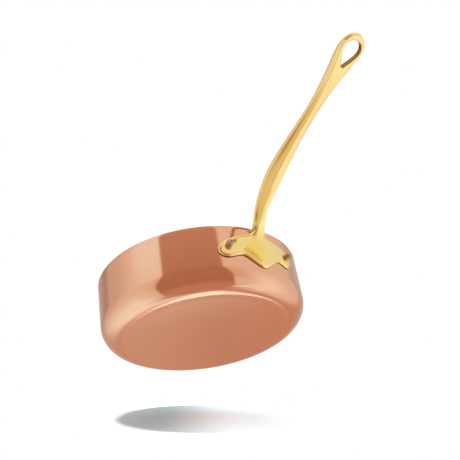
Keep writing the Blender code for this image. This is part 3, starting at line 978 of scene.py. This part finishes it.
def turn_rivet(name, along, drop):
    """A rivet with its place in its mesh."""
    seat = BRACKET_FRONT - FIT_GAP
    end = BRACKET_FRONT + FIT_GAP + OUTER_HEAD_HEIGHT
    inside = PAN_RADIUS - COPPER_THICKNESS - LINING_THICKNESS - FIT_GAP
    inner_seat = math.sqrt((inside - FIT_GAP) ** 2 - INNER_HEAD_RADIUS ** 2)
    inner_end = inner_seat - INNER_HEAD_HEIGHT
    face = OUTER_HEAD_RADIUS - OUTER_HEAD_ROUND
    section = [(0.0, end - HEAD_DISH)]
    section += [(face * share, end - HEAD_DISH * (1 - share ** 3)) for share in DISH_SHARES]
    section += arc(face, end - OUTER_HEAD_ROUND, OUTER_HEAD_ROUND, *OUTER_ARC)
    section += [(OUTER_HEAD_FOOT, seat), (SHANK_RADIUS, seat), (SHANK_RADIUS, inside)]
    section += [(INNER_HEAD_RADIUS, inside)]
    section += arc(INNER_HEAD_RADIUS - INNER_HEAD_ROUND, inner_end + INNER_HEAD_ROUND, INNER_HEAD_ROUND,
                   *INNER_ARC)
    section += [(INNER_HEAD_RADIUS * INNER_DISH_SHARE, inner_end - INNER_HEAD_DISH / 2)]
    section += [(0.0, inner_end - INNER_HEAD_DISH)]
    mesh = bpy.data.meshes.new(name)
    lines = [(i, i + 1) for i in range(len(section) - 1)]
    mesh.from_pydata([(across, 0, height) for across, height in section], lines, [])
    rivet = add_object(name, mesh)
    edit(rivet)
    bpy.ops.mesh.select_all(action="SELECT")
    bpy.ops.mesh.spin(steps=RIVET_STEPS, angle=math.tau, center=(0, 0, 0), axis=(0, 0, 1))
    bpy.ops.mesh.select_all(action="SELECT")
    bpy.ops.mesh.remove_doubles(threshold=TOLERANCE)
    done(rivet)
    rivet.rotation_euler = (0, math.pi / 2, along / PAN_RADIUS)
    rivet.location = (0, 0, PAN_HEIGHT - drop)
    bpy.ops.object.transform_apply(location=True, rotation=True, scale=True)
    bpy.ops.object.shade_smooth_by_angle(angle=SMOOTH_LIMIT)
    return rivet


rivets = [turn_rivet("rivet_at_" + name.split("_")[0], *place) for name, place in RIVETS.items()]
for rivet in rivets:
    print(rivet.name, len(rivet.data.polygons), "faces")

# %% [markdown]
# Polished copper and satin copper are the same metal with another surface. The wall is polished
# until it mirrors, the base keeps a fine ground finish, and the change lies where the rounded corner
# meets the base. Distances from the pan's axis say where a point is, so the masks are made of them.
# The base is ground in rings, and fine rays break up the light at its edge. Towards one side the base
# gets a painted sheen, paler and pinker. Rings and rays are noise that is stretched: round the axis
# for the rings, away from it for the rays.


# %% Copper
def metal(name):
    """A new material: its tree and the Object coordinates in millimetres."""
    material = bpy.data.materials.new(name)
    tree = Tree(material)
    place = tree.node("TexCoord", output="Object")
    scaled = tree.node("VectorMath", {"operation": "SCALE"}, {0: place, "Scale": 1 / MM})
    return material, tree, scaled


def finish_metal(tree, colour, roughness, height, bump_depth):
    """The Principled shader of a metal, with its bump."""
    bump = tree.node("Bump", {}, {"Height": height, "Distance": bump_depth, "Strength": 1.0})
    shader = tree.node("BsdfPrincipled", {}, {
        "Base Color": colour, "Roughness": roughness, "Metallic": 1.0, "Normal": bump})
    tree.node("OutputMaterial", {}, {"Surface": shader})


COPPER_BUMP = 0.01 * MM
COPPER_POLISHED = (0.885, 0.555, 0.375, 1)
COPPER_WARM = (0.87, 0.53, 0.345, 1)
COPPER_SATIN = (0.75, 0.492, 0.36, 1)
# The satin base's painted sheen, paler and pinker towards one side
COPPER_PAINTED_SHEEN = (0.89, 0.62, 0.45, 1)
# Millimetres of none and of all: heights above the base, distances from the axis, and to one side for the
# painted sheen
LOW_SPAN = (4.5, 0.2)
SATIN_SPAN = (56.0, 46.0)
RAYS_INSIDE = (44.0, 49.0)
RAYS_OUTSIDE = (55.0, 52.0)
PAINTED_SHEEN_SPAN = (15.0, -45.0)
PAINTED_SHEEN_WAY = (0.6, 0.8)
WARM_SPAN = (0.35, 0.65)


def turned(tree, place):
    """Distance from the pan's axis, angle round it and height."""
    x, y, z = tree.axes(place)
    return tree.maths("SQRT", x * x + y * y), tree.maths("ARCTAN2", y, x), z


def copper_material():
    """Mirror bright on the wall, satin on the base."""
    material, tree, place = metal("copper")
    x, y = tree.axes(place)[:2]
    out, angle, z = turned(tree, place)
    low = tree.step(z, *LOW_SPAN)
    satin = low * tree.step(out, *SATIN_SPAN)
    cloud = tree.grain(place, 0.05)
    rings = tree.grain(tree.vector(out * 6, angle * 2, z * 6), 1.0, 3.0)
    rays = tree.grain(tree.vector(angle * 40, out * 0.15, 0.0), 1.0, 2.0)
    at_corner = tree.step(out, *RAYS_INSIDE) * tree.step(out, *RAYS_OUTSIDE) * low
    polished = tree.blend(tree.step(cloud, *WARM_SPAN), COPPER_POLISHED, COPPER_WARM)
    # Painted sheen: the satin base turns paler and pinker towards one side
    painted_sheen = tree.step(PAINTED_SHEEN_WAY[0] * x + PAINTED_SHEEN_WAY[1] * y, *PAINTED_SHEEN_SPAN)
    colour = tree.blend(satin, polished, tree.blend(painted_sheen, COPPER_SATIN, COPPER_PAINTED_SHEEN))
    roughness = 0.07 + 0.02 * cloud + satin * (0.02 + 0.03 * rings)
    height = rings * (0.05 + 0.1 * satin) + 5.0 * rays * at_corner
    finish_metal(tree, colour, roughness, height, COPPER_BUMP)
    return material


shell.data.materials.append(copper_material())
print("copper nodes:", len(shell.data.materials[0].node_tree.nodes))

# %% [markdown]
# The other three metals are simpler. The lining is brushed in circles. Brass is yellower on the
# plate and most of all in the plate's middle, and it gets painted dark reflections where the two
# numbers of the casting say so: browner in the hollows, which are also rougher, and dark brown on the
# narrow sides. The rivets are hammered steel, which has taken on the colour of old polish.

# %% Steel, brass and rivet steel
STEEL_DARK = (0.70, 0.70, 0.69, 1)
STEEL_PALE = (0.84, 0.84, 0.83, 1)
RIVET_DARK = (0.36, 0.29, 0.19, 1)
RIVET_PALE = (0.77, 0.68, 0.49, 1)
BRASS_BRIGHT = (0.98, 0.76, 0.32, 1)
BRASS_PALE = (0.99, 0.79, 0.36, 1)
BRASS_PLATE = (1.0, 0.87, 0.36, 1)
# Painted dark reflection on the narrow sides
BRASS_PAINTED_SIDE_REFLECTION = (0.29, 0.165, 0.045, 1)
BRASS_YELLOW = (1.0, 0.83, 0.20, 1)
# Painted dark reflection in the hollows
BRASS_PAINTED_HOLLOW_REFLECTION = (0.86, 0.66, 0.21, 1)
# Round tints on the plate in mm: middle, distances of none and of all, strength, colour
PLATE_TINTS = (
    ((62.0, 1.0, 24.0), (32.0, 14.0), 1.0, BRASS_PLATE),
    ((61.5, -4.0, 21.5), (10.0, 2.0), 0.9, BRASS_YELLOW),
)
# Values of none and of all for the two numbers of the casting, which place its painted dark reflections
PAINTED_HOLLOW_SPAN = (0.03, 0.25)
PAINTED_SIDE_SPAN = (0.15, 0.6)
STEEL_BUMP = 0.012 * MM
BRASS_BUMP = 0.002 * MM
RIVET_BUMP = 0.05 * MM


def steel_material():
    """Brushed in circles round the pan's axis."""
    material, tree, place = metal("lining_steel")
    out, angle, z = turned(tree, place)
    rings = tree.grain(tree.vector(out * 9, angle * 1.5, z * 9), 1.0, 4.0)
    finish_metal(tree, tree.blend(rings, STEEL_DARK, STEEL_PALE), 0.24 + 0.1 * rings, rings, STEEL_BUMP)
    return material


def casting_number(tree, name):
    """One of the two numbers that the casting keeps in its mesh."""
    return tree.node("Attribute", {"attribute_type": "GEOMETRY", "attribute_name": name}, output="Fac")


def brass_material():
    """Polished, with its tints on the plate, and painted dark reflections in its rougher hollows and on
    its narrow sides.
    """
    material, tree, place = metal("handle_brass")
    fine = tree.grain(place, 1.6, 3.0)
    colour = tree.blend(tree.grain(place, 0.09, 3.0), BRASS_BRIGHT, BRASS_PALE)
    for middle, span, strength, tint in PLATE_TINTS:
        colour = tree.blend(strength * tree.step(tree.distance(place, middle), *span), colour, tint)
    # Painted dark reflection in the hollows, which are also rougher
    hollow = tree.step(casting_number(tree, PAINTED_HOLLOW), *PAINTED_HOLLOW_SPAN)
    colour = tree.blend(hollow, colour, BRASS_PAINTED_HOLLOW_REFLECTION)
    # Painted dark reflection on the narrow sides and in the eye
    colour = tree.blend(tree.step(casting_number(tree, PAINTED_SIDE), *PAINTED_SIDE_SPAN), colour, BRASS_PAINTED_SIDE_REFLECTION)
    finish_metal(tree, colour, 0.06 + 0.02 * fine + 0.12 * hollow, fine, BRASS_BUMP)
    return material


def rivet_material():
    """Hammered, with a coarse bump."""
    material, tree, place = metal("rivet_steel")
    fine = tree.grain(place, 2.2, 4.0)
    finish_metal(tree, tree.blend(fine, RIVET_DARK, RIVET_PALE), 0.28 + 0.12 * fine, fine, RIVET_BUMP)
    return material


lining.data.materials.append(steel_material())
handle.data.materials.append(brass_material())
rivet_finish = rivet_material()
for rivet in rivets:
    rivet.data.materials.append(rivet_finish)
print("materials:", ", ".join(sorted(m.name for m in bpy.data.materials)))

# %% [markdown]
# Last, every fine piece hides the imported solid that it stands for, and is attached to the one body.

# %% Hand over
STANDS_FOR = (
    (shell, "copper_shell", "copper"),
    (lining, "steel_lining", "lining_steel"),
    (handle, "handle", "handle_brass"),
    (rivets[0], "left_rivet", "rivet_steel"),
    (rivets[1], "right_rivet", "rivet_steel"),
)
for piece, node, slot in STANDS_FOR:
    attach(piece, "root")
    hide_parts(node)
